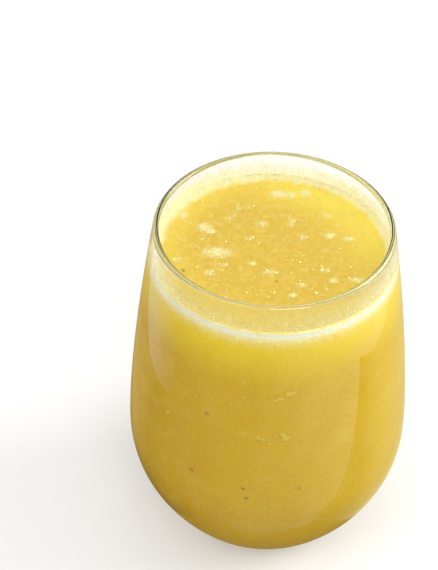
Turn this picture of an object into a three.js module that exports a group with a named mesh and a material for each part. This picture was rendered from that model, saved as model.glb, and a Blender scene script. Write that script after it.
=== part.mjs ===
// A stemless, egg-shaped glass filled almost to the rim with thick, cloudy yellow juice.
// Millimetres, +Z up, origin at the centre of the foot, where the glass stands.

import * as THREE from 'three';

// Driving dimensions of the glass
const height = 107.5;
const rimRadius = 33;          // outside, at the lip
const bellyRadius = 40.75;     // outside, at the widest ring
const bellyHeight = 36;
const wall = 1.75;
const footRingOuter = 21.5;    // flat ring that the glass stands on
const footRingInner = 16.5;
const pushUp = 1;              // how far the underside is hollowed inside that ring
const floorHeight = 3.2;       // inside bottom, above the surface it stands on

// How the outline bends: it leans in gently above the belly and rounds in below it
const shoulderPower = 1.5;
const bowlDepth = 62.7;        // below the belly, where the bowl's curve would meet the axis
const bowlPower = 2.15;
const bowlEase = 1.425;

// Driving dimensions of the juice
const level = 99;              // its flat surface, 8.5 mm under the rim
const meniscusRise = 0.8;      // how far it climbs at the wall
const meniscusWidth = 1.6;
const gap = 0.3;               // clearance between the juice and the glass

// Fineness of the turned outlines
const segments = 48;
const wallSteps = 18;
const arcSteps = 5;
const footBlend = 3;           // height over which the wall rounds into the foot ring
const floorBlend = 6;          // the same inside, from the wall into the floor

const lipHeight = height - wall / 2;

// Outside radius at a height above the foot
function outerRadius(z) {
  if (z > bellyHeight) {
    const rise = (z - bellyHeight) / (lipHeight - bellyHeight);
    return bellyRadius - (bellyRadius - rimRadius) * rise ** shoulderPower;
  }
  const drop = (bellyHeight - z) / bowlDepth;
  return bellyRadius * (1 - drop ** bowlPower) ** bowlEase;
}

// Change of the outside radius for each millimetre of height
function outerSlope(z) {
  const step = 0.05;
  const below = Math.min(z, lipHeight - step) - step;
  return (outerRadius(below + 2 * step) - outerRadius(below)) / (2 * step);
}

// Point at a height, at a distance inside the outside surface, measured square to it
function insetPoint(z, inset) {
  const slope = outerSlope(z);
  const length = Math.hypot(1, slope);
  const facing = z - (inset * slope) / length;
  return new THREE.Vector2(outerRadius(facing) - inset / length, z);
}

// Wall from one height to another, at a distance inside the outside surface
function wallPoints(from, to, inset) {
  const points = [];
  for (let i = 0; i <= wallSteps; i += 1) {
    points.push(insetPoint(from + ((to - from) * i) / wallSteps, inset));
  }
  return points;
}

// Rounds the bottom end of a wall into a level plane, from that plane outwards
function cornerPoints(plane, wallEnd, slope) {
  const drop = wallEnd.y - plane;
  const corner = new THREE.Vector2(wallEnd.x - slope * drop, plane);
  const start = new THREE.Vector2(corner.x - drop, plane);
  return new THREE.QuadraticBezierCurve(start, corner, wallEnd).getPoints(arcSteps).slice(0, -1);
}

// Inside of the bowl, from the middle of a floor up to a height on the wall
function cavityPoints(floor, top, inset) {
  const from = floor + floorBlend;
  const side = wallPoints(from, top, inset);
  return [new THREE.Vector2(0, floor), ...cornerPoints(floor, side[0], outerSlope(from)), ...side];
}

// Half circle that joins the outside of the wall to the inside over the lip
function lipPoints() {
  const middle = rimRadius - wall / 2;
  const points = [];
  for (let i = 1; i < 2 * arcSteps; i += 1) {
    const angle = (Math.PI * i) / (2 * arcSteps);
    const reach = wall / 2;
    points.push(new THREE.Vector2(middle + reach * Math.cos(angle), lipHeight + reach * Math.sin(angle)));
  }
  return points;
}

// Underside: hollow middle, flat ring, rounded foot edge
function footPoints(outside) {
  const hollow = [];
  for (let i = 0; i < arcSteps; i += 1) {
    const share = i / arcSteps;
    const radius = footRingInner * share;
    hollow.push(new THREE.Vector2(radius, pushUp * Math.cos((Math.PI / 2) * share)));
  }
  const edge = new THREE.Vector2(outerRadius(0), 0);
  const ringEnd = new THREE.Vector2(footRingOuter, 0);
  const rounded = new THREE.QuadraticBezierCurve(ringEnd, edge, outside).getPoints(arcSteps);
  return [...hollow, new THREE.Vector2(footRingInner, 0), ...rounded.slice(0, -1)];
}

// Turns an outline of radius and height round the Z axis into a closed body
function turned(name, outline, material) {
  const geometry = new THREE.LatheGeometry(outline, segments);
  geometry.rotateX(Math.PI / 2);
  const mesh = new THREE.Mesh(geometry, material);
  mesh.name = name;
  return mesh;
}

function makeGlass() {
  const outside = wallPoints(footBlend, lipHeight, 0);
  const inside = cavityPoints(floorHeight, lipHeight, wall).reverse();
  const outline = [...footPoints(outside[0]), ...outside, ...lipPoints(), ...inside];
  const material = new THREE.MeshStandardMaterial({
    color: 0xf2f1e6,
    roughness: 0.04,
    metalness: 0,
    transparent: true,
    opacity: 0.35,
  });
  return turned('glass', outline, material);
}

function makeJuice() {
  const body = cavityPoints(floorHeight + gap, level + meniscusRise, wall + gap);
  const edge = body[body.length - 1];
  const surface = [];
  for (let i = 1; i <= arcSteps; i += 1) {
    const share = i / arcSteps;
    const lift = meniscusRise * (1 - share) ** 2;
    surface.push(new THREE.Vector2(edge.x - meniscusWidth * share, level + lift));
  }
  const outline = [...body, ...surface, new THREE.Vector2(0, level)];
  const material = new THREE.MeshStandardMaterial({ color: 0xd8b03c, roughness: 0.35, metalness: 0 });
  return turned('juice', outline, material);
}

const drink = new THREE.Group();
drink.add(makeGlass(), makeJuice());

export default drink;
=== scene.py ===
import math
import random

import bpy
from mathutils import Euler, Matrix, Vector


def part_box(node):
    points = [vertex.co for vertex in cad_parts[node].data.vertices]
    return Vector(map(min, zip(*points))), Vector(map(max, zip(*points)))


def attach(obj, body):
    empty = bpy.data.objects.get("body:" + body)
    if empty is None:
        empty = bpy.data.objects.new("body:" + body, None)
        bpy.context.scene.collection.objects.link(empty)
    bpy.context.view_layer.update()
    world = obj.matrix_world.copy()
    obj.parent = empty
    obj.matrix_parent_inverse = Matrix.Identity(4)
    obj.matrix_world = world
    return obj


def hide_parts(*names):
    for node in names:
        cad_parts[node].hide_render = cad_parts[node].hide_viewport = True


# A stemless glass of cloudy apple juice. Metres, +Z up, the foot stands on the floor at the origin.

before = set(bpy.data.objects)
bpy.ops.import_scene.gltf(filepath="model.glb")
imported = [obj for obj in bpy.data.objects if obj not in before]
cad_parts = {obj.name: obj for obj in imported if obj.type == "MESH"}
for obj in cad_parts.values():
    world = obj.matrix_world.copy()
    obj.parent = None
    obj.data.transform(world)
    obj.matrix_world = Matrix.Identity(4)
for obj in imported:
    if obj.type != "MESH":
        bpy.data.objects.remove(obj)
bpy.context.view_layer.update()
print("frame loaded:", sorted(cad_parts))

mm = 0.001
glassLow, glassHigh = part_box("glass")
mergeDistance = 0.002 * mm     # closes the seam and the poles of a spun outline


# Small helpers for working by hand

def clearSelection():
    bpy.ops.object.select_all(action="DESELECT")


def pick(piece):
    clearSelection()
    piece.select_set(True)
    bpy.context.view_layer.objects.active = piece


def editing(piece):
    pick(piece)
    bpy.ops.object.mode_set(mode="EDIT")


def doneEditing():
    bpy.ops.object.mode_set(mode="OBJECT")


def settle(piece):
    # place, turn and size go into the mesh
    pick(piece)
    bpy.ops.object.transform_apply(location=True, rotation=True, scale=True)


def finishWith(piece, kind, **values):
    pick(piece)
    modifier = piece.modifiers.new(kind.title(), kind)
    for key, value in values.items():
        setattr(modifier, key, value)
    bpy.ops.object.modifier_apply(modifier=modifier.name)


def subdivided(piece, levels):
    finishWith(piece, "SUBSURF", levels=levels, render_levels=levels)


def smoothShaded(piece):
    pick(piece)
    bpy.ops.object.shade_smooth()


def spunOutline(name, outline, turns):
    # one vertex is drawn along the outline by extrusion, and the line is spun round the Z axis
    clearSelection()
    firstX, firstZ = outline[0]
    bpy.ops.mesh.primitive_circle_add(vertices=3, radius=mm, location=(firstX, 0, firstZ))
    piece = bpy.context.object
    piece.name = name
    piece.data.name = name
    settle(piece)
    editing(piece)
    bpy.ops.mesh.select_all(action="SELECT")
    bpy.ops.mesh.merge(type="CENTER")
    for (x, z), (nextX, nextZ) in zip(outline, outline[1:]):
        bpy.ops.mesh.extrude_vertices_move(TRANSFORM_OT_translate={"value": (nextX - x, 0, nextZ - z)})
    bpy.ops.mesh.select_all(action="SELECT")
    bpy.ops.mesh.spin(steps=turns, angle=2 * math.pi, center=(0, 0, 0), axis=(0, 0, 1))
    bpy.ops.mesh.select_all(action="SELECT")
    bpy.ops.mesh.remove_doubles(threshold=mergeDistance)
    bpy.ops.mesh.normals_make_consistent(inside=False)
    doneEditing()
    return piece


def onFrame(piece):
    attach(piece, "root")


def inJuice(piece):
    # every piece that belongs to the juice ends this way
    smoothShaded(piece)
    onFrame(piece)
    print(piece.name, "made:", len(piece.data.polygons), "faces")
    return piece


def rippled(piece, name, size, **values):
    # moved to and fro by a cloud texture
    texture = bpy.data.textures.new(name, "CLOUDS")
    texture.noise_scale = size
    texture.noise_depth = 2
    finishWith(piece, "DISPLACE", texture=texture, texture_coords="LOCAL", mid_level=0.5, **values)


def masterBlob(name, lumps, seed, fineness=2, height=1):
    # a small lump one unit across, shaped once and copied many times
    clearSelection()
    bpy.ops.mesh.primitive_ico_sphere_add(subdivisions=fineness, radius=0.5)
    blob = bpy.context.object
    blob.name = name
    editing(blob)
    bpy.ops.mesh.select_all(action="SELECT")
    bpy.ops.transform.vertex_random(offset=lumps, seed=seed)
    bpy.ops.mesh.vertices_smooth(factor=0.4, repeat=1)
    bpy.ops.transform.resize(value=(1, 1, height), center_override=(0, 0, 0))
    bpy.ops.mesh.normals_make_consistent(inside=False)
    doneEditing()
    return blob


def scatter(name, masters, placings):
    # one joined piece from many copies, each with its own mesh; a placing is a place, a turn and a size
    copies = []
    for i, (place, turn, size) in enumerate(placings):
        copy = masters[i % len(masters)].copy()
        copy.data = copy.data.copy()
        bpy.context.scene.collection.objects.link(copy)
        copy.location = place
        copy.rotation_euler = turn
        copy.scale = size
        copies.append(copy)
    clearSelection()
    for copy in copies:
        copy.select_set(True)
    bpy.context.view_layer.objects.active = copies[0]
    bpy.ops.object.join()
    piece = bpy.context.object
    piece.name = name
    piece.data.name = name
    settle(piece)
    for master in masters:
        bpy.data.objects.remove(master)
    return inJuice(piece)


# The glass: its outline leans in above the belly and rounds in below it

glassShape = {
    "height": glassHigh.z,
    "rimRadius": 33 * mm,
    "bellyRadius": 40.75 * mm,
    "bellyHeight": 36 * mm,
    "shoulderPower": 1.5,
    "bowlDepth": 62.7 * mm,       # below the belly, where the bowl's curve would meet the axis
    "bowlPower": 2.15,
    "bowlEase": 1.425,
    "wall": 1.75 * mm,
    "floorHeight": 3.2 * mm,
    "floorBlend": 6 * mm,         # height over which the wall rounds into the floor
    "footBlend": 3 * mm,          # the same outside, into the foot ring
    "footRingOuter": 21.5 * mm,
    "footRingInner": 16.5 * mm,
    "pushUp": 1 * mm,             # how far the underside is hollowed
    "lipOuterDrop": 1.9 * mm,     # height over which the lip rounds, outside and inside
    "lipInnerDrop": 1.1 * mm,
    "sides": 128,
    "wallSteps": 44,
    "arcSteps": 9,
    "floorSteps": 8,
    "footRingSteps": 3,
}
lipHeight = glassShape["height"] - glassShape["wall"] / 2


def outerRadius(z):
    g = glassShape
    if z > g["bellyHeight"]:
        rise = (z - g["bellyHeight"]) / (lipHeight - g["bellyHeight"])
        return g["bellyRadius"] - (g["bellyRadius"] - g["rimRadius"]) * rise ** g["shoulderPower"]
    drop = (g["bellyHeight"] - z) / g["bowlDepth"]
    return g["bellyRadius"] * (1 - drop ** g["bowlPower"]) ** g["bowlEase"]


def outerSlope(z):
    step = 0.05 * mm
    return (outerRadius(z + step) - outerRadius(z - step)) / (2 * step)


def insetRadius(z, inset):
    # radius at a height, at a distance inside the outside surface
    slope = outerSlope(z)
    length = math.hypot(1, slope)
    return outerRadius(z - inset * slope / length) - inset / length


def bent(start, corner, end, steps):
    # quadratic curve through a corner, without its end point
    points = []
    for i in range(steps):
        t = i / steps
        points.append(tuple(
            (1 - t) ** 2 * a + 2 * t * (1 - t) * b + t ** 2 * c for a, b, c in zip(start, corner, end)
        ))
    return points


def cavityOutline(floor, top, inset, steps):
    # inside of the bowl, from the middle of its floor up the wall
    foot = floor + glassShape["floorBlend"]
    wallFoot = (insetRadius(foot, inset), foot)
    corner = (wallFoot[0] - outerSlope(foot) * glassShape["floorBlend"], floor)
    start = (corner[0] - glassShape["floorBlend"], floor)
    floorSteps = glassShape["floorSteps"]
    flat = [(start[0] * i / floorSteps, floor) for i in range(floorSteps)]
    rounded = bent(start, corner, wallFoot, glassShape["arcSteps"])
    heights = [foot + (top - foot) * i / steps for i in range(steps + 1)]
    return flat + rounded + [(insetRadius(z, inset), z) for z in heights]


def makeGlass():
    g = glassShape
    hollow = []
    for i in range(g["arcSteps"]):
        share = i / g["arcSteps"]
        hollow.append((g["footRingInner"] * share, g["pushUp"] * math.cos(math.pi / 2 * share)))
    footRingWidth = g["footRingOuter"] - g["footRingInner"]
    ring = []
    for i in range(g["footRingSteps"]):
        ring.append((g["footRingInner"] + footRingWidth * i / g["footRingSteps"], 0))
    wallFoot = (outerRadius(g["footBlend"]), g["footBlend"])
    edge = bent((g["footRingOuter"], 0), (outerRadius(0), 0), wallFoot, g["arcSteps"])
    outsideTop = g["height"] - g["lipOuterDrop"]
    insideTop = g["height"] - g["lipInnerDrop"]
    rise = outsideTop - g["footBlend"]
    outside = []
    for i in range(g["wallSteps"] + 1):
        z = g["footBlend"] + rise * i / g["wallSteps"]
        outside.append((outerRadius(z), z))
    lip = []
    middle = g["rimRadius"] - g["wall"] / 2
    for i in range(1, 2 * g["arcSteps"]):
        angle = math.pi * i / (2 * g["arcSteps"])
        outer = angle < math.pi / 2
        reach = outerRadius(outsideTop) if outer else insetRadius(insideTop, g["wall"])
        drop = g["lipOuterDrop"] if outer else g["lipInnerDrop"]
        lip.append((
            middle + abs(reach - middle) * math.cos(angle),
            g["height"] - drop + drop * math.sin(angle),
        ))
    inside = cavityOutline(g["floorHeight"], insideTop, g["wall"], g["wallSteps"])
    glass = spunOutline("glassWall", hollow + ring + edge + outside + lip + inside[::-1], g["sides"])
    subdivided(glass, 1)
    smoothShaded(glass)
    return glass


glassWall = makeGlass()
onFrame(glassWall)
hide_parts("glass")
print("glass made:", len(glassWall.data.polygons), "faces")


# The juice fills the glass and reaches a little way into its wall, so that no air shows between them

juiceShape = {
    "level": 99 * mm,
    "meniscusRise": 0.25 * mm,
    "meniscusWidth": 2.4 * mm,
    "meniscusPower": 2.5,
    "intoWall": 0.35 * mm,
    "sides": 192,
    "wallSteps": 60,
    "meniscusSteps": 8,
    "surfaceSteps": 56,
    "swell": 0.28 * mm,           # gentle humps of the surface
    "swellSize": 3.5 * mm,
    "patchFalloff": 2.6,          # how sharply a pale patch ends
    # pale patches of foam and pulp on the surface, in millimetres:
    # place, half size, how pale from 0 to 1, bubbles in it
    "patches": [
        (1.7, 23.7, 2.3, 1.7, 1.0, 22), (5.0, 23.4, 2.1, 1.5, 0.8, 12), (9.4, 24.2, 1.6, 1.8, 0.85, 10),
        (-0.4, 27.0, 1.4, 0.9, 0.4, 4), (-18.9, 8.8, 2.3, 1.9, 0.8, 14), (-17.2, 7.0, 1.2, 1.0, 1.0, 10),
        (-15.6, -1.8, 4.6, 2.4, 0.62, 60), (-12.0, 13.5, 2.2, 1.4, 0.3, 4), (-3.1, 10.7, 2.2, 1.4, 0.45, 5),
        (15.6, 6.0, 1.5, 1.2, 1.0, 8), (20.8, 4.7, 2.0, 1.1, 0.6, 6), (-17.4, -9.9, 2.0, 1.4, 0.5, 8),
        (-1.0, -9.5, 2.6, 1.0, 0.4, 9), (22.1, -12.2, 2.4, 1.0, 0.6, 8), (-26.1, -4.8, 1.6, 1.2, 0.4, 4),
        (5.2, 11.4, 1.1, 2.4, 0.5, 5), (-5.8, -6.1, 1.4, 0.9, 0.55, 6), (8.3, 5.0, 1.2, 2.2, 0.4, 3),
        (7.5, -14.6, 1.6, 0.9, 0.4, 5), (4.9, -18.6, 1.7, 1.2, 0.35, 8), (-9.0, 17.5, 2.2, 1.2, 0.25, 3),
        (-25.0, 14.1, 1.5, 2.8, 0.5, 16), (15.9, -12.5, 1.3, 1.1, 0.7, 5), (14.2, -0.4, 1.6, 1.2, 0.3, 3),
        (13.9, -8.5, 1.7, 1.2, 0.4, 4), (-6.3, 4.4, 1.4, 1.2, 0.35, 3), (14.7, 14.6, 2.2, 1.2, 0.4, 3),
        (-13.9, -6.7, 1.8, 1.0, 0.25, 3),
    ],
}
level = juiceShape["level"]
wallInside = insetRadius(level, glassShape["wall"])


def paleness(x, y):
    # soft round patches, the palest one counts
    palest = 0
    for patchX, patchY, halfX, halfY, strength, bubbleCount in juiceShape["patches"]:
        away = math.hypot((x / mm - patchX) / halfX, (y / mm - patchY) / halfY)
        palest = max(palest, strength * math.exp(-away ** juiceShape["patchFalloff"]))
    return palest


def makeJuice():
    j = juiceShape
    inset = glassShape["wall"] - j["intoWall"]
    top = level + j["meniscusRise"]
    side = cavityOutline(glassShape["floorHeight"] - j["intoWall"], top, inset, j["wallSteps"])
    edgeRadius = insetRadius(top, glassShape["wall"])
    meniscus = []
    for i in range(j["meniscusSteps"] + 1):
        share = i / j["meniscusSteps"]
        lift = j["meniscusRise"] * (1 - share) ** j["meniscusPower"]
        meniscus.append((edgeRadius - j["meniscusWidth"] * share, level + lift))
    flatRadius = meniscus[-1][0]
    surface = [(flatRadius * (1 - i / j["surfaceSteps"]), level) for i in range(1, j["surfaceSteps"] + 1)]
    juice = spunOutline("juiceBody", side + meniscus + surface, j["sides"])
    group = juice.vertex_groups.new(name="surface")
    for vertex in juice.data.vertices:
        reach = math.hypot(vertex.co.x, vertex.co.y)
        if vertex.co.z > level - 0.01 * mm and reach < flatRadius:
            group.add([vertex.index], min(1, (flatRadius - reach) / j["meniscusWidth"]), "REPLACE")
    rippled(juice, "swell", j["swellSize"], direction="Z", strength=j["swell"], vertex_group="surface")
    pale = juice.data.attributes.new("pale", "FLOAT", "POINT")
    for vertex, share in zip(juice.data.vertices, pale.data):
        if vertex.co.z > level - 1 * mm:
            share.value = paleness(vertex.co.x, vertex.co.y)
    return inJuice(juice)


juiceBody = makeJuice()
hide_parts("juice")


# Foam: a bead round the wall, drifts and patches of fine bubbles on the surface

foamShape = {
    "above": -0.5 * mm,           # its upper edge at the front, against the level
    "climb": 0.8 * mm,            # how much higher it has crept up the wall at the back
    "below": 0.9 * mm,
    "width": 2.0 * mm,
    "dip": 0.4 * mm,              # its inner edge is under the surface, so that no step shows
    "slopePower": 1.3,            # how hollow its upper side is
    "underPower": 1.5,
    "intoWall": 0.4 * mm,
    "sides": 256,
    "wallSteps": 6,
    "slopeSteps": 8,
    "underSteps": 4,
    "waviness": 0.35 * mm,
    "wavinessSize": 6 * mm,
    "lumps": 0.18 * mm,
    "lumpSize": 0.8 * mm,
    "driftWidth": 1.7 * mm,       # how far loose foam reaches in from the wall
    "driftSwing": 1.3 * mm,       # more or less than that, to the drift's side and opposite
    "driftSide": math.radians(100),
    "ringBubbles": 1300,
    "ringBubbleSize": (0.2, 0.5),
    "ringSpread": 0.42,
    "frontShare": 0.12,           # bubbles that are left at the front, against the back
    "edgeBubbles": 1100,          # the ones on the wall, at the upper edge
    "edgeBubbleSize": (0.16, 0.42),
    "edgeSpread": 0.16,
    "patchBubbleSize": (0.25, 0.7),
    "patchLumpSize": (0.6, 1.3),
    "patchLumpHeight": 0.1 * mm,
}


def clamped(share):
    return max(0, min(1, share))


def makeFoamRing():
    f = foamShape
    low = level - f["below"]
    high = level + f["above"]
    end = level - f["dip"]
    outline = []
    for i in range(f["wallSteps"] + 1):
        z = low + (high - low) * i / f["wallSteps"]
        outline.append((insetRadius(z, glassShape["wall"] - f["intoWall"]), z))
    top = insetRadius(high, glassShape["wall"])
    for i in range(f["slopeSteps"] + 1):
        share = i / f["slopeSteps"]
        outline.append((top - f["width"] * share, end + (high - end) * (1 - share) ** f["slopePower"]))
    startX = outline[0][0]
    endX, endZ = outline[-1]
    for i in range(1, f["underSteps"] + 1):
        share = i / f["underSteps"]
        outline.append((endX + (startX - endX) * share, endZ + (low - endZ) * share ** f["underPower"]))
    ring = spunOutline("foamRing", outline, f["sides"])
    subdivided(ring, 1)
    climbing = ring.vertex_groups.new(name="climbing")
    for vertex in ring.data.vertices:
        x, y, z = vertex.co
        nearWall = (math.hypot(x, y) - endX) / (top - endX)
        upper = (z - low) / (high - low)
        atBack = 0.5 + 0.5 * y / math.hypot(x, y)
        climbing.add([vertex.index], clamped(nearWall) * clamped(upper) * atBack, "REPLACE")
    upwards = {"direction": "Z", "vertex_group": "climbing"}
    finishWith(ring, "DISPLACE", strength=f["climb"], mid_level=0, **upwards)
    rippled(ring, "foamWaves", f["wavinessSize"], strength=f["waviness"], **upwards)
    rippled(ring, "foamLumps", f["lumpSize"], direction="NORMAL", strength=f["lumps"])
    return inJuice(ring)


def atAngle(angle, reach, z):
    return (reach * math.cos(angle), reach * math.sin(angle), z)


def inPatch(x, y, awayX, awayY, angle, z):
    # a place in a patch of the list above, which is in millimetres
    return ((x + awayX * math.cos(angle)) * mm, (y + awayY * math.sin(angle)) * mm, z)


def anyTurn(chance):
    return (0, 0, chance.uniform(0, 6))


def ringWidth(angle):
    return foamShape["driftWidth"] + foamShape["driftSwing"] * math.cos(angle - foamShape["driftSide"])


def makeFoamBubbles():
    f = foamShape
    chance = random.Random(11)
    placings = []
    for i in range(f["ringBubbles"]):
        angle = chance.uniform(0, 2 * math.pi)
        inward = abs(chance.gauss(0, f["ringSpread"])) * ringWidth(angle) + 0.25 * mm
        atBack = 0.5 + 0.5 * math.sin(angle)
        if chance.random() > f["frontShare"] + (1 - f["frontShare"]) * atBack:
            continue
        rise = (f["above"] + f["climb"] * atBack) * max(0, 1 - inward / f["width"]) ** f["slopePower"]
        size = chance.uniform(*f["ringBubbleSize"]) * mm
        place = atAngle(angle, wallInside - inward, level + max(0, rise))
        placings.append((place, anyTurn(chance), (size, size, size * 0.6)))
    for i in range(f["edgeBubbles"]):
        angle = chance.uniform(0, 2 * math.pi)
        atBack = 0.5 + 0.5 * math.sin(angle)
        z = level + f["above"] + f["climb"] * atBack + chance.gauss(0, f["edgeSpread"]) * mm
        size = chance.uniform(*f["edgeBubbleSize"]) * mm
        place = atAngle(angle, insetRadius(z, glassShape["wall"]), z)
        placings.append((place, anyTurn(chance), (size, size, size)))
    for x, y, halfX, halfY, strength, count in juiceShape["patches"]:
        for i in range(count):
            away = math.sqrt(chance.random()) * 0.95
            angle = chance.uniform(0, 2 * math.pi)
            size = chance.uniform(*f["patchBubbleSize"]) * mm * (1.1 - 0.5 * away)
            place = inPatch(x, y, halfX * away, halfY * away, angle, level)
            placings.append((place, anyTurn(chance), (size, size, size * 0.5)))
    masters = [masterBlob("foamBubble" + str(i), 0.05, i) for i in range(3)]
    return scatter("foamBubbles", masters, placings)


def makeFoamPatches():
    # thin flat lumps that hold the bubbles of a patch together
    f = foamShape
    chance = random.Random(17)
    placings = []
    for x, y, halfX, halfY, strength, count in juiceShape["patches"]:
        for i in range(count // 3 + 1):
            away = math.sqrt(chance.random()) * 0.7
            angle = chance.uniform(0, 2 * math.pi)
            long = chance.uniform(*f["patchLumpSize"]) * mm
            place = inPatch(x, y, halfX * away, halfY * away, angle, level + 0.01 * mm)
            turn = anyTurn(chance)
            placings.append((place, turn, (long, long * chance.uniform(0.5, 1), f["patchLumpHeight"])))
    masters = [masterBlob("foamPatch" + str(i), 0.12, i + 20) for i in range(3)]
    return scatter("foamPatches", masters, placings)


foamRing = makeFoamRing()
foamBubbles = makeFoamBubbles()
foamPatches = makeFoamPatches()


# Larger bubbles that stand alone

bubbleShape = {
    # place and width in millimetres of the ones that stand out
    "largest": [
        (4.9, -18.6, 1.5), (12.9, -8.3, 1.1), (-16.9, 6.8, 1.1), (15.5, 6.1, 1.2),
        (-5.6, 4.9, 0.9), (2.0, 23.1, 1.1), (21.2, 4.6, 1.0), (11.1, -17.5, 0.9),
        (-5.5, -6.4, 0.9), (7.6, -14.3, 1.0), (9.3, 5.1, 0.8), (-1.9, -8.7, 0.9),
        (22.6, -12.9, 1.0), (5.2, 23.0, 1.0), (9.5, 23.7, 0.9), (15.9, -12.4, 1.0),
    ],
    "others": 45,
    "otherSize": (0.35, 0.8),
    "offWall": 2.5 * mm,
}


def makeSurfaceBubbles():
    chance = random.Random(23)
    placings = []
    for x, y, size in bubbleShape["largest"]:
        placings.append(((x * mm, y * mm, level), anyTurn(chance), [size * mm] * 3))
    for i in range(bubbleShape["others"]):
        angle = chance.uniform(0, 2 * math.pi)
        reach = (wallInside - bubbleShape["offWall"]) * math.sqrt(chance.random())
        size = chance.uniform(*bubbleShape["otherSize"]) * mm
        placings.append((atAngle(angle, reach, level), (0, 0, angle), (size, size, size)))
    masters = [masterBlob("bubble", 0.0, 1, fineness=3, height=0.5)]
    return scatter("surfaceBubbles", masters, placings)


surfaceBubbles = makeSurfaceBubbles()


# Pulp: pale flakes of apple flesh in the surface and behind the wall, and a few brown specks

pulpShape = {
    "onSurface": 420,
    "smallest": 0.35,
    "largest": 1.3,
    "offWall": 2 * mm,
    "unevenTilt": 0.15,
    "behindWall": 170,
    "wallSmallest": 0.5,
    "wallLargest": 2.2,
    "wallLow": 19 * mm,           # they lie between this height and 14 mm under the level
    "wallHigh": level - 14 * mm,
    "wallThickness": 0.12 * mm,
    "clumpThickness": 0.16 * mm,
    # clumps that show through the front: angle in degrees, height and length in millimetres
    "clumps": [
        (-88.5, 77.0, 1.6), (-86.5, 77.6, 1.8), (-83.2, 79.0, 2.4), (-81.2, 79.2, 1.4), (-95.6, 63.9, 1.9),
        (-93.6, 63.4, 1.8), (-90.4, 61.9, 1.6), (-85.2, 64.8, 2.2), (-82.9, 64.0, 1.5), (-84.2, 63.6, 1.9),
        (-92.7, 73.6, 1.0), (-80.0, 71.8, 1.1), (-86.8, 55.5, 1.2), (-85.7, 54.0, 1.0), (-102.0, 77.0, 1.0),
    ],
}


def onSide(angle, z, depth):
    # a place on the juice's side, a little inside or outside it
    return atAngle(angle, insetRadius(z, glassShape["wall"] - juiceShape["intoWall"]) - depth, z)


def alongWall(angle, z, spin):
    # turns a flat lump in its own plane and tips it to lie along the wall
    own = Matrix.Rotation(spin, 3, "Z")
    tip = Euler((0, math.pi / 2 + math.atan(outerSlope(z)), 0)).to_matrix()
    around = Matrix.Rotation(angle, 3, "Z")
    return (around @ tip @ own).to_euler()


def makePulpFlecks():
    p = pulpShape
    chance = random.Random(37)
    placings = []
    for i in range(p["onSurface"]):
        angle = chance.uniform(0, 2 * math.pi)
        reach = (wallInside - p["offWall"]) * chance.random() ** 0.55
        long = p["smallest"] + (p["largest"] - p["smallest"]) * chance.random() ** 3
        size = (long * mm, long * chance.uniform(0.45, 0.9) * mm, long * 0.16 * mm)
        tilt = p["unevenTilt"]
        turn = (chance.gauss(0, tilt), chance.gauss(0, tilt), chance.uniform(0, 6))
        placings.append((atAngle(angle, reach, level + 0.02 * mm), turn, size))
    masters = [masterBlob("fleck" + str(i), 0.16, i + 5) for i in range(4)]
    return scatter("pulpFlecks", masters, placings)


def makeWallPulp():
    p = pulpShape
    chance = random.Random(43)
    placings = []
    for i in range(p["behindWall"]):
        angle = chance.uniform(0, 2 * math.pi)
        z = p["wallHigh"] - (p["wallHigh"] - p["wallLow"]) * chance.random()
        long = p["wallSmallest"] + (p["wallLargest"] - p["wallSmallest"]) * chance.random() ** 3
        size = (long * mm, long * chance.uniform(0.3, 0.7) * mm, p["wallThickness"])
        placings.append((onSide(angle, z, 0.03 * mm), alongWall(angle, z, chance.uniform(0, 6)), size))
    for degrees, height, long in p["clumps"]:
        angle = math.radians(degrees)
        size = (long * 0.85 * mm, long * mm, p["clumpThickness"])
        turn = alongWall(angle, height * mm, chance.uniform(-0.5, 0.5))
        placings.append((onSide(angle, height * mm, 0.01 * mm), turn, size))
    masters = [masterBlob("flake" + str(i), 0.2, i + 31) for i in range(4)]
    return scatter("wallPulp", masters, placings)


speckShape = {
    # angle round the glass in degrees, height and length in millimetres
    "onSide": [
        (-118.0, 68.3, 1.6), (-123.1, 45.4, 1.9), (-100.7, 44.4, 1.4), (-99.3, 40.7, 1.7),
        (-78.0, 44.6, 1.6), (20, 47, 0.8), (64, 70, 0.7), (112, 35, 1.0),
        (150, 61, 0.8), (-160, 44, 0.7), (-35, 66, 0.5), (88, 52, 0.9),
    ],
    # place and length in millimetres
    "onTop": [(-24.4, -9.3, 1.5), (0.6, -13.2, 0.9), (12.2, 14.8, 0.5), (-8.4, 19.6, 0.5)],
    "sideThickness": 0.2 * mm,
    "topThickness": 0.25 * mm,
}


def makeBrownSpecks():
    chance = random.Random(41)
    placings = []
    for degrees, height, long in speckShape["onSide"]:
        angle = math.radians(degrees)
        size = (long * mm, long * 0.75 * mm, speckShape["sideThickness"])
        turn = alongWall(angle, height * mm, chance.uniform(0, 6))
        placings.append((onSide(angle, height * mm, 0.02 * mm), turn, size))
    for x, y, long in speckShape["onTop"]:
        size = (long * mm, long * 0.7 * mm, speckShape["topThickness"])
        placings.append(((x * mm, y * mm, level + 0.05 * mm), anyTurn(chance), size))
    masters = [masterBlob("speck" + str(i), 0.2, i + 9) for i in range(2)]
    return scatter("brownSpecks", masters, placings)


pulpFlecks = makePulpFlecks()
wallPulp = makeWallPulp()
brownSpecks = makeBrownSpecks()


# What the juice left on the inside of the wall: a thin film and fine drops

filmShape = {
    "low": level - 0.5 * mm,      # its lower edge is in the juice
    "high": level + 7.4 * mm,
    "thickness": 0.05 * mm,
    "intoWall": 0.1 * mm,
    "sides": 128,
    "heightSteps": 8,
    "drops": 520,
    "dropSize": (0.18, 0.55),
    "dropSpread": 1.3,            # how far up they thin out, in millimetres
    "underRim": 2 * mm,
}


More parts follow.
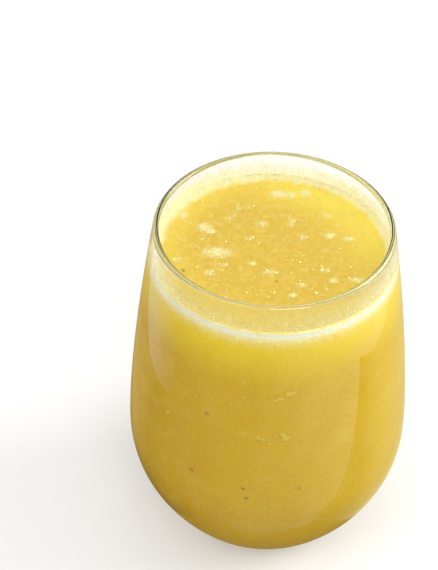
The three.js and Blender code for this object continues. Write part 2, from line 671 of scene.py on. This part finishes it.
def makeWallFilm():
    f = filmShape
    steps = f["heightSteps"]
    heights = [f["low"] + (f["high"] - f["low"]) * i / steps for i in range(steps + 1)]
    outer = [(insetRadius(z, glassShape["wall"] - f["intoWall"]), z) for z in heights]
    inner = [(insetRadius(z, glassShape["wall"] + f["thickness"]), z) for z in heights[::-1]]
    film = spunOutline("wallFilm", outer + inner + outer[:1], f["sides"])
    return inJuice(film)


def makeWallDrops():
    f = filmShape
    chance = random.Random(53)
    placings = []
    for i in range(f["drops"]):
        angle = chance.uniform(0, 2 * math.pi)
        z = level + 0.5 * mm + abs(chance.gauss(0, f["dropSpread"])) * mm
        if z > glassShape["height"] - f["underRim"]:
            continue
        size = chance.uniform(*f["dropSize"]) * mm
        place = atAngle(angle, insetRadius(z, glassShape["wall"]), z)
        placings.append((place, alongWall(angle, z, chance.uniform(0, 6)), (size, size, size * 0.5)))
    masters = [masterBlob("drop" + str(i), 0.04, i + 3) for i in range(2)]
    return scatter("wallDrops", masters, placings)


wallFilm = makeWallFilm()
wallDrops = makeWallDrops()


# Materials

def newMaterial(name):
    material = bpy.data.materials.new(name)
    material.use_nodes = True
    material.node_tree.nodes.clear()
    return material, material.node_tree


def addNode(tree, kind, **values):
    node = tree.nodes.new(kind)
    for key, value in values.items():
        setattr(node, key, value)
    return node


def setSockets(node, **values):
    for key, value in values.items():
        node.inputs[key.replace("_", " ")].default_value = value


def feed(tree, socket, value):
    # a socket is linked, a plain value is set
    if isinstance(value, bpy.types.NodeSocket):
        tree.links.new(value, socket)
    else:
        socket.default_value = value


def mathOf(tree, operation, a, b=0.0):
    node = addNode(tree, "ShaderNodeMath", operation=operation)
    feed(tree, node.inputs[0], a)
    feed(tree, node.inputs[1], b)
    return node.outputs[0]


def plus(tree, a, b):
    return mathOf(tree, "ADD", a, b)


def times(tree, a, b):
    return mathOf(tree, "MULTIPLY", a, b)


def vectorOf(tree, operation, a, b=(0, 0, 0)):
    node = addNode(tree, "ShaderNodeVectorMath", operation=operation)
    feed(tree, node.inputs[0], a)
    feed(tree, node.inputs[1], b)
    return node.outputs["Value"] if operation in ("LENGTH", "DOT_PRODUCT") else node.outputs["Vector"]


def splitOf(tree, vector):
    node = addNode(tree, "ShaderNodeSeparateXYZ")
    feed(tree, node.inputs[0], vector)
    return node.outputs


def rangeOf(tree, value, low, high, toLow=0.0, toHigh=1.0, steps="SMOOTHSTEP"):
    node = addNode(tree, "ShaderNodeMapRange", interpolation_type=steps)
    for socket, given in zip(node.inputs[:5], (value, low, high, toLow, toHigh)):
        feed(tree, socket, given)
    return node.outputs[0]


def blendOf(tree, share, first, second):
    node = addNode(tree, "ShaderNodeMix", data_type="RGBA")
    feed(tree, node.inputs[0], share)
    feed(tree, node.inputs[6], first)
    feed(tree, node.inputs[7], second)
    return node.outputs[2]


def noiseOf(tree, where, size, detail=2.0):
    node = addNode(tree, "ShaderNodeTexNoise")
    feed(tree, node.inputs["Vector"], where)
    setSockets(node, Scale=1 / size, Detail=detail)
    return node.outputs[0]


def wanderOf(tree, where, size, detail, reach):
    # noise round zero, which moves an edge to and fro
    noise = noiseOf(tree, where, size, detail)
    return times(tree, mathOf(tree, "SUBTRACT", noise, 0.5), reach)


def bumpOf(tree, height, distance):
    node = addNode(tree, "ShaderNodeBump")
    feed(tree, node.inputs["Height"], height)
    setSockets(node, Distance=distance, Strength=1.0)
    return node.outputs[0]


def objectPlace(tree):
    return addNode(tree, "ShaderNodeTexCoord").outputs["Object"]


def mixed(tree, share, first, second):
    mix = addNode(tree, "ShaderNodeMixShader")
    for socket, given in zip(mix.inputs, (share, first.outputs[0], second.outputs[0])):
        feed(tree, socket, given)
    return mix


def showOn(tree, shader):
    # the finished shader goes to a new output
    output = addNode(tree, "ShaderNodeOutputMaterial")
    feed(tree, output.inputs["Surface"], shader.outputs[0])
    return output


def wetShader(tree, look, colour, grain):
    # wet, with its roughness from the grain
    shader = addNode(tree, "ShaderNodeBsdfPrincipled")
    feed(tree, shader.inputs["Base Color"], colour)
    feed(tree, shader.inputs["Roughness"], rangeOf(tree, grain, 0.3, 0.7, *look["roughness"]))
    setSockets(shader, IOR=look["ior"])
    showOn(tree, shader)
    return shader


def facing(angle):
    return (math.cos(angle), math.sin(angle), 0)


def makePulpGroup():
    # soft blotches, fine grain and round dots of pulp or bubbles, all from one place
    group = bpy.data.node_groups.new("pulp", "ShaderNodeTree")
    face = group.interface
    face.new_socket("Where", in_out="INPUT", socket_type="NodeSocketVector")
    for name in ("Blotch Scale", "Grain Scale", "Dot Scale", "Dot Share"):
        face.new_socket(name, in_out="INPUT", socket_type="NodeSocketFloat")
    for name in ("Blotches", "Grain", "Dots"):
        face.new_socket(name, in_out="OUTPUT", socket_type="NodeSocketFloat")
    inside = addNode(group, "NodeGroupInput").outputs
    outside = addNode(group, "NodeGroupOutput").inputs
    blotch = addNode(group, "ShaderNodeTexNoise")
    setSockets(blotch, Detail=2.5, Distortion=0.2)
    grain = addNode(group, "ShaderNodeTexNoise")
    setSockets(grain, Detail=2.0)
    dots = addNode(group, "ShaderNodeTexVoronoi")
    for node, scale in ((blotch, "Blotch Scale"), (grain, "Grain Scale"), (dots, "Dot Scale")):
        feed(group, node.inputs["Vector"], inside["Where"])
        feed(group, node.inputs["Scale"], inside[scale])
    threshold = mathOf(group, "SUBTRACT", 1.0, inside["Dot Share"])
    chosen = mathOf(group, "GREATER_THAN", dots.outputs["Color"], threshold)
    roundDot = rangeOf(group, dots.outputs["Distance"], 0.42, 0.15)
    feed(group, outside["Blotches"], rangeOf(group, blotch.outputs[0], 0.40, 0.74))
    feed(group, outside["Grain"], grain.outputs[0])
    feed(group, outside["Dots"], times(group, chosen, roundDot))
    return group


pulpGroup = makePulpGroup()


def pulpIn(tree, where, blotch, grain, dot, share):
    # sizes of blotches, grain and dots, and the share of cells that hold a dot
    node = addNode(tree, "ShaderNodeGroup", node_tree=pulpGroup)
    feed(tree, node.inputs["Where"], where)
    setSockets(node, Blotch_Scale=1 / blotch, Grain_Scale=1 / grain, Dot_Scale=1 / dot, Dot_Share=share)
    return node.outputs["Blotches"], node.outputs["Grain"], node.outputs["Dots"]


glassLook = {
    "colour": (0.985, 0.99, 0.975, 1),
    "shadowColour": (0.97, 0.97, 0.955, 1),
    "ior": 1.5,
    "tint": (0.62, 0.65, 0.31, 1),
    "tintDensity": 40.0,
    "smearSize": 9 * mm,
    "smearRoughness": 0.02,
    "rippleSize": 14 * mm,
    "ripple": 0.02 * mm,
}


def glassMaterial():
    look = glassLook
    material, tree = newMaterial("clearGlass")
    where = objectPlace(tree)
    glass = addNode(tree, "ShaderNodeBsdfPrincipled")
    setSockets(glass, Base_Color=look["colour"], Transmission_Weight=1.0, IOR=look["ior"])
    smears = rangeOf(tree, noiseOf(tree, where, look["smearSize"]), 0.45, 0.75, 0.0, look["smearRoughness"])
    feed(tree, glass.inputs["Roughness"], smears)
    ripples = noiseOf(tree, where, look["rippleSize"])
    feed(tree, glass.inputs["Normal"], bumpOf(tree, ripples, look["ripple"]))
    # light that only has to pass through takes the plain way
    through = addNode(tree, "ShaderNodeBsdfTransparent")
    setSockets(through, Color=look["shadowColour"])
    path = addNode(tree, "ShaderNodeLightPath").outputs
    passing = mathOf(tree, "MAXIMUM", path["Is Shadow Ray"], path["Is Diffuse Ray"])
    output = showOn(tree, mixed(tree, passing, glass, through))
    tint = addNode(tree, "ShaderNodeVolumeAbsorption")
    setSockets(tint, Color=look["tint"], Density=look["tintDensity"])
    feed(tree, output.inputs["Volume"], tint.outputs[0])
    return material


juiceLook = {
    "radius": (1.0, 0.65, 0.2),
    "depth": 0.9 * mm,            # how far light spreads in it
    # the surface
    "topColour": (0.645, 0.44, 0.053, 1),
    # painted light: the glow colour and the glow places below make the surface brighter near the wall and
    # at the back right
    "topPaintedGlow": (0.87, 0.71, 0.09, 1),
    "topPulp": (0.76, 0.58, 0.125, 1),
    "topPale": (0.84, 0.745, 0.35, 1),
    "topFoam": (0.90, 0.85, 0.52, 1),
    "topPattern": (1.9 * mm, 0.6 * mm, 1.5 * mm, 0.28),
    "topShares": (0.36, 0.22, 0.16),        # of pulp in blotches, dots and grain
    "glowSide": math.radians(44),
    "glowAcross": (0.0, 34 * mm),
    "glowReach": (10 * mm, 27 * mm),
    "wallGlowReach": (20 * mm, 29 * mm),
    "wallGlow": 0.4,
    "crumbs": (0.7 * mm, 3.0, 2.4),         # size, detail and strength of a patch's broken edge
    "foamWander": (2.5 * mm, 4.0, 3 * mm),
    "foamFadeIn": 1.2 * mm,
    "foamFull": 0.6 * mm,                   # from the wall
    "foamFrontBack": (0.14, 0.95),
    "topRoughness": (0.22, 0.42),
    "topRelief": 0.08 * mm,
    "topIor": 1.34,
    # the side, against the glass
    "sideColour": (0.69, 0.468, 0.030, 1),
    "sideShade": (0.63, 0.40, 0.024, 1),
    "sidePulp": (0.76, 0.56, 0.11, 1),
    # painted light: the glow colour and glow heights below make the side brighter towards the surface
    "sidePaintedGlow": (0.89, 0.70, 0.05, 1),
    "sideFoam": (1.0, 0.995, 0.82, 1),
    "sidePattern": (6 * mm, 0.55 * mm, 2.0 * mm, 0.22),
    "sideShares": (0.22, 0.22, 0.35),
    "shadeSize": 22 * mm,
    "shadeShare": 0.5,
    # painted shade: darker to the left, the side away from the key light
    "paintedShadeToLeft": (10 * mm, -24 * mm, 0.0, 0.6),
    "sideWander": (1.5 * mm, 5.0, 2.4 * mm),
    "glowHeights": (level - 20 * mm, level - 3 * mm),
    "glowShare": 0.85,
    "foamHeights": (level - 7.4 * mm, level - 1.5 * mm),
    "foamPower": 3.2,
    "foamTop": (level - 0.9 * mm, level + 0.2 * mm, 1.0, 0.3),
    "grainSize": 0.4 * mm,
    "iorFromGlass": 0.9,
    "mirrorRoughness": 0.05,
}


def juiceShader(tree):
    look = juiceLook
    juice = addNode(tree, "ShaderNodeBsdfPrincipled")
    setSockets(juice, Subsurface_Radius=look["radius"], Subsurface_Scale=look["depth"])
    setSockets(juice, Subsurface_Weight=1.0)
    return juice


def pulpyColour(tree, colour, pulp, patterns, shares, grainFrom, grainTo):
    # pulp of another colour in the blotches, dots and grain
    blotches, grain, dots = patterns
    inBlotches, inDots, inGrain = shares
    share = plus(tree, times(tree, blotches, inBlotches), times(tree, dots, inDots))
    share = plus(tree, share, rangeOf(tree, grain, grainFrom, grainTo, 0.0, inGrain))
    return blendOf(tree, share, colour, pulp)


def juiceTopMaterial():
    look = juiceLook
    drift = foamShape
    material, tree = newMaterial("juiceTop")
    where = objectPlace(tree)
    juice = juiceShader(tree)
    patterns = pulpIn(tree, where, *look["topPattern"])
    blotches, grain, dots = patterns
    flat = vectorOf(tree, "MULTIPLY", where, (1, 1, 0))
    reach = vectorOf(tree, "LENGTH", flat)
    outward = vectorOf(tree, "NORMALIZE", flat)

    # painted light: brighter near the wall, most of all at the back right, where more light comes in
    across = vectorOf(tree, "DOT_PRODUCT", flat, facing(look["glowSide"]))
    lit = times(
        tree, rangeOf(tree, across, *look["glowAcross"]), rangeOf(tree, reach, *look["glowReach"]),
    )
    nearWall = rangeOf(tree, reach, *look["wallGlowReach"], 0.0, look["wallGlow"])
    colour = blendOf(tree, mathOf(tree, "MAXIMUM", lit, nearWall), look["topColour"], look["topPaintedGlow"])

    # pale pulp all over, and the patches that the mesh carries, with broken edges
    colour = pulpyColour(tree, colour, look["topPulp"], patterns, look["topShares"], 0.45, 0.75)
    pale = addNode(tree, "ShaderNodeAttribute", attribute_name="pale").outputs["Fac"]
    broken = times(tree, pale, plus(tree, wanderOf(tree, where, *look["crumbs"]), 1.0))
    colour = blendOf(tree, rangeOf(tree, broken, 0.0, 1.0), colour, look["topPale"])

    # fine foam fades in towards the wall, further where it has drifted
    swing = vectorOf(tree, "DOT_PRODUCT", outward, facing(drift["driftSide"]))
    swing = times(tree, swing, drift["driftSwing"])
    start = mathOf(tree, "SUBTRACT", wallInside - drift["driftWidth"] - look["foamFadeIn"], swing)
    ragged = plus(tree, reach, wanderOf(tree, where, *look["foamWander"]))
    foam = rangeOf(tree, ragged, start, wallInside - look["foamFull"])
    toBack = vectorOf(tree, "DOT_PRODUCT", outward, (0, 1, 0))
    foam = times(tree, foam, rangeOf(tree, toBack, -0.9, 0.3, *look["foamFrontBack"]))
    colour = blendOf(tree, foam, colour, look["topFoam"])

    feed(tree, juice.inputs["Base Color"], colour)
    feed(tree, juice.inputs["Roughness"], rangeOf(tree, blotches, 0.0, 1.0, *look["topRoughness"]))
    relief = plus(tree, plus(tree, times(tree, dots, 0.8), times(tree, grain, 0.7)), blotches)
    feed(tree, juice.inputs["Normal"], bumpOf(tree, relief, look["topRelief"]))
    setSockets(juice, IOR=look["topIor"])
    showOn(tree, juice)
    return material


def juiceSideMaterial():
    # wets the glass, so it mirrors only the light that runs along inside the wall
    look = juiceLook
    material, tree = newMaterial("juiceSide")
    where = objectPlace(tree)
    juice = juiceShader(tree)
    split = splitOf(tree, where)

    # darker in broad random patches, and painted shade darker to the left
    shade = rangeOf(tree, noiseOf(tree, where, look["shadeSize"]), 0.4, 0.65)
    shade = times(tree, shade, look["shadeShare"])
    shade = plus(tree, shade, rangeOf(tree, split["X"], *look["paintedShadeToLeft"]))
    colour = blendOf(tree, shade, look["sideColour"], look["sideShade"])
    patterns = pulpIn(tree, where, *look["sidePattern"])
    colour = pulpyColour(tree, colour, look["sidePulp"], patterns, look["sideShares"], 0.42, 0.7)

    # painted light, brighter towards the surface, and foam under its edge, both ragged
    height = plus(tree, split["Z"], wanderOf(tree, where, *look["sideWander"]))
    glow = times(tree, rangeOf(tree, height, *look["glowHeights"]), look["glowShare"])
    colour = blendOf(tree, glow, colour, look["sidePaintedGlow"])
    fine = noiseOf(tree, where, look["grainSize"], 3.0)
    foam = rangeOf(tree, height, *look["foamHeights"], steps="LINEAR")
    foam = mathOf(tree, "POWER", foam, look["foamPower"])
    foam = times(tree, foam, rangeOf(tree, fine, 0.3, 0.65, 0.8, 1.1))
    foam = times(tree, foam, rangeOf(tree, height, *look["foamTop"]))
    colour = blendOf(tree, foam, colour, look["sideFoam"])
    colour = vectorOf(tree, "MULTIPLY", colour, rangeOf(tree, fine, 0.3, 0.7, 0.94, 1.05))
    feed(tree, juice.inputs["Base Color"], colour)
    setSockets(juice, IOR=1.0, Roughness=0.5)

    mirror = addNode(tree, "ShaderNodeBsdfGlossy")
    setSockets(mirror, Roughness=look["mirrorRoughness"])
    fresnel = addNode(tree, "ShaderNodeFresnel")
    setSockets(fresnel, IOR=look["iorFromGlass"])
    showOn(tree, mixed(tree, fresnel.outputs[0], juice, mirror))
    return material


foamLook = {
    # colour, colour in the gaps, size of a bubble, how far light spreads in it, relief
    "foamEdge": ((0.97, 0.92, 0.64, 1), (0.93, 0.84, 0.45, 1), 0.5 * mm, 0.06 * mm, 0.06 * mm),
    "foamFloat": ((0.89, 0.80, 0.43, 1), (0.85, 0.72, 0.29, 1), 0.4 * mm, 0.01 * mm, 0.02 * mm),
    "foamThin": ((0.85, 0.73, 0.31, 1), (0.80, 0.65, 0.19, 1), 0.4 * mm, 0.01 * mm, 0.02 * mm),
    "blotchSize": 2.5 * mm,
    "radius": (1.0, 0.8, 0.4),
    "roughness": (0.25, 0.5),
    "ior": 1.33,
}


def foamMaterial(name):
    look = foamLook
    colour, gap, cell, depth, relief = look[name]
    material, tree = newMaterial(name)
    blotches, grain, dots = pulpIn(tree, objectPlace(tree), look["blotchSize"], cell * 1.4, cell, 0.8)
    share = plus(tree, times(tree, blotches, 0.35), rangeOf(tree, grain, 0.5, 0.75, 0.0, 0.35))
    foam = wetShader(tree, look, blendOf(tree, share, colour, gap), grain)
    feed(tree, foam.inputs["Normal"], bumpOf(tree, dots, relief))
    setSockets(foam, Subsurface_Weight=0.5, Subsurface_Radius=look["radius"], Subsurface_Scale=depth)
    return material


bubbleLook = {
    "crown": (0.89, 0.76, 0.32, 1),
    "shade": (0.86, 0.69, 0.21, 1),
    "pattern": (1.5 * mm, 0.3 * mm, 0.4 * mm, 0.3),
    "roughness": (0.12, 0.3),
    "ior": 1.33,
}


def bubbleMaterial():
    # wet domes in slightly different yellows
    look = bubbleLook
    material, tree = newMaterial("wetBubble")
    blotches, grain = pulpIn(tree, objectPlace(tree), *look["pattern"])[:2]
    wetShader(tree, look, blendOf(tree, blotches, look["crown"], look["shade"]), grain)
    return material


fleckLook = {
    # light and dark colour
    "applePulp": ((0.80, 0.635, 0.17, 1), (0.74, 0.55, 0.10, 1)),
    "sunkPulp": ((0.735, 0.53, 0.075, 1), (0.70, 0.48, 0.045, 1)),
    "peelSpeck": ((0.38, 0.23, 0.03, 1), (0.55, 0.35, 0.04, 1)),
    "juiceDrop": ((0.96, 0.9, 0.58, 1), (0.93, 0.8, 0.35, 1)),
    "pattern": (2.0 * mm, 0.25 * mm, 0.3 * mm, 0.5),
    "roughness": (0.25, 0.5),
    "relief": 0.015 * mm,
    "ior": 1.34,
}


def fleckMaterial(name):
    look = fleckLook
    light, dark = look[name]
    material, tree = newMaterial(name)
    blotches, grain = pulpIn(tree, objectPlace(tree), *look["pattern"])[:2]
    share = times(tree, plus(tree, blotches, grain), 0.6)
    fleck = wetShader(tree, look, blendOf(tree, share, light, dark), grain)
    feed(tree, fleck.inputs["Normal"], bumpOf(tree, grain, look["relief"]))
    return material


filmLook = {
    "thinColour": (0.92, 0.82, 0.36, 1),
    "thickColour": (0.95, 0.88, 0.48, 1),
    "pattern": (3 * mm, 0.8 * mm, 0.9 * mm, 0.5),
    "wander": (3 * mm, 4.0, 5 * mm),
    "fade": (level + 1.1 * mm, level + 6.8 * mm, 1.0, 0.0),
    "cover": 0.14,                # how much it hides, with more in drops, at the sides and at the back
    "coverInDots": 0.1,
    "coverAside": (6 * mm, 26 * mm, 0.0, 0.18),
    "coverAtBack": (5 * mm, 25 * mm, 0.0, 0.14),
    "roughness": (0.1, 0.3),
    "ior": 1.34,
}


def filmMaterial():
    # a wet, broken film that thins out upwards
    look = filmLook
    material, tree = newMaterial("juiceFilm")
    where = objectPlace(tree)
    blotches, grain, dots = pulpIn(tree, where, *look["pattern"])
    film = wetShader(tree, look, blendOf(tree, blotches, look["thinColour"], look["thickColour"]), grain)
    split = splitOf(tree, where)
    height = plus(tree, split["Z"], wanderOf(tree, where, *look["wander"]))
    cover = plus(tree, times(tree, dots, look["coverInDots"]), look["cover"])
    aside = mathOf(tree, "ABSOLUTE", split["X"])
    cover = plus(tree, cover, rangeOf(tree, aside, *look["coverAside"]))
    cover = plus(tree, cover, rangeOf(tree, split["Y"], *look["coverAtBack"]))
    feed(tree, film.inputs["Alpha"], times(tree, rangeOf(tree, height, *look["fade"]), cover))
    return material


def dress(piece, *materials):
    for material in materials:
        piece.data.materials.append(material)


dress(glassWall, glassMaterial())
dress(juiceBody, juiceSideMaterial(), juiceTopMaterial())
edgeSlack = 0.3 * mm
for face in juiceBody.data.polygons:
    middle = face.center
    if middle.z > level - edgeSlack and math.hypot(middle.x, middle.y) < wallInside + edgeSlack:
        face.material_index = 1   # the surface
dress(foamRing, foamMaterial("foamEdge"))
dress(foamBubbles, foamMaterial("foamFloat"))
dress(foamPatches, foamMaterial("foamThin"))
dress(surfaceBubbles, bubbleMaterial())
dress(pulpFlecks, fleckMaterial("applePulp"))
dress(wallPulp, fleckMaterial("sunkPulp"))
dress(brownSpecks, fleckMaterial("peelSpeck"))
dress(wallFilm, filmMaterial())
dress(wallDrops, fleckMaterial("juiceDrop"))
print("materials made")


# Studio: pale floor, soft lights, and the camera of the photograph

studio = {
    "floorSize": 6,
    "floorColour": (0.86, 0.855, 0.84, 1),
    # soft lights: place, height they aim at on the glass, size, power
    "lights": {
        "keyLight": ((0.74, 0.12, 0.39), 0.06, 0.5, 4.9),
        "fillLight": ((-0.5, -0.4, 0.68), 0.05, 0.5, 1.4),
        "frontLight": ((0.2, -0.79, 0.5), 0.05, 0.5, 3.0),
        "topLight": ((0.03, 0.08, 0.9), 0.1, 0.12, 0.2),
        "backLight": ((-0.62, 0.7, 0.25), 0.07, 0.5, 1.3),
    },
    # cards on the floor that only reflections see: left, right, front and back edge, turn in degrees,
    # colour, and fades, each with its axis, two places and the strengths there
    "cards": {
        "frontCard": (
            (-0.4, 0.4, -0.546, -0.046), -4.3, (0.96, 1.08, 0.95, 1),
            [("X", -0.06, 0.12, 0.2, 0.85)],
        ),
        "leftCard": (
            (-0.43, -0.119, -0.033, 0.18), 0, (1, 1, 1, 1),
            [("Y", -0.045, 0.035, 0.3, 0.9)],
        ),
        "rightCard": ((0.152, 0.55, -0.08, 0.26), 0, (1, 1, 1, 1), []),
        "nearLeftCard": (
            (-0.119, -0.03, -0.04, 0.12), 0, (0.66, 0.49, 0.20, 1),
            [("Y", -0.01, 0.03, 0.4, 1.0), ("X", -0.05, -0.07, 0.6, 1.0)],
        ),
        "nearRightCard": (
            (0.03, 0.152, -0.055, 0.12), 0, (0.70, 0.66, 0.37, 1),
            [("Y", -0.055, -0.005, 0.05, 1.0), ("X", 0.04, 0.07, 1.2, 1.0)],
        ),
    },
    "cardHeight": 0.3 * mm,
    # height from 0 straight down to 1 straight up, and colour there
    "skyBelow": (0.42, (0.36, 0.25, 0.07, 1)),
    "skyHorizon": (0.55, (0.93, 0.93, 0.93, 1)),
    "skyTop": (0.9, (0.72, 0.73, 0.75, 1)),
}


def makeFloor():
    clearSelection()
    bpy.ops.mesh.primitive_plane_add(size=studio["floorSize"])
    floor = bpy.context.object
    floor.name = "floor"
    material, tree = newMaterial("paleFloor")
    matt = addNode(tree, "ShaderNodeBsdfDiffuse")
    setSockets(matt, Color=studio["floorColour"])
    showOn(tree, matt)
    dress(floor, material)
    floor.visible_diffuse = False
    floor.visible_glossy = False


def makeCard(name, box, turn, colour, fades):
    left, right, front, back = box
    middle = ((left + right) / 2, (front + back) / 2, studio["cardHeight"])
    clearSelection()
    bpy.ops.mesh.primitive_plane_add(size=1, location=middle, rotation=(0, 0, math.radians(turn)))
    card = bpy.context.object
    card.name = name
    card.scale = (right - left, back - front, 1)
    settle(card)
    material, tree = newMaterial(name)
    glow = addNode(tree, "ShaderNodeEmission")
    setSockets(glow, Color=colour)
    split = splitOf(tree, objectPlace(tree))
    strength = 1.0
    for axis, *fade in fades:
        strength = times(tree, rangeOf(tree, split[axis], *fade), strength)
    feed(tree, glow.inputs["Strength"], strength)
    showOn(tree, glow)
    dress(card, material)
    card.visible_camera = False
    card.visible_diffuse = False
    card.visible_transmission = False
    card.visible_shadow = False


def areaLight(name, place, aimHeight, size, power):
    light = bpy.data.lights.new(name, "AREA")
    light.shape = "RECTANGLE"
    light.size = size
    light.size_y = size
    light.energy = power
    lamp = bpy.data.objects.new(name, light)
    bpy.context.scene.collection.objects.link(lamp)
    lamp.location = place
    towards = Vector((0, 0, aimHeight)) - Vector(place)
    lamp.rotation_euler = towards.to_track_quat("-Z", "Y").to_euler()


def makeSky():
    world = bpy.data.worlds.new("softSky")
    bpy.context.scene.world = world
    world.use_nodes = True
    tree = world.node_tree
    tree.nodes.clear()
    sky = addNode(tree, "ShaderNodeBackground")
    where = addNode(tree, "ShaderNodeTexCoord").outputs["Generated"]
    height = rangeOf(tree, splitOf(tree, where)["Z"], -1.0, 1.0, steps="LINEAR")
    ramp = addNode(tree, "ShaderNodeValToRGB")
    feed(tree, ramp.inputs[0], height)
    stops = ramp.color_ramp.elements
    stops[0].position, stops[0].color = studio["skyBelow"]
    stops[1].position, stops[1].color = studio["skyTop"]
    horizon, horizonColour = studio["skyHorizon"]
    stops.new(horizon).color = horizonColour
    feed(tree, sky.inputs["Color"], ramp.outputs[0])
    output = addNode(tree, "ShaderNodeOutputWorld")
    feed(tree, output.inputs["Surface"], sky.outputs[0])


cameraView = {
    "place": (-14.786 * mm, -351.98 * mm, 406.68 * mm),
    "lookDown": 42.391,
    "roll": 0.806,
    "lens": 107.91,
    "sensor": 36,
    "clipStart": 0.02,
    "clipEnd": 20,
}


def makeCamera():
    camera = bpy.data.cameras.new("photoCamera")
    camera.lens = cameraView["lens"]
    camera.sensor_width = cameraView["sensor"]
    camera.clip_start = cameraView["clipStart"]
    camera.clip_end = cameraView["clipEnd"]
    holder = bpy.data.objects.new("photoCamera", camera)
    bpy.context.scene.collection.objects.link(holder)
    tilt = Euler((math.radians(90 - cameraView["lookDown"]), 0, 0)).to_matrix()
    roll = Matrix.Rotation(math.radians(cameraView["roll"]), 3, "Z")
    holder.matrix_world = Matrix.Translation(cameraView["place"]) @ (tilt @ roll).to_4x4()
    bpy.context.scene.camera = holder


makeFloor()
makeSky()
for name, card in studio["cards"].items():
    makeCard(name, *card)
for name, light in studio["lights"].items():
    areaLight(name, *light)
makeCamera()
bpy.context.scene.view_settings.view_transform = "Standard"
print("studio made")
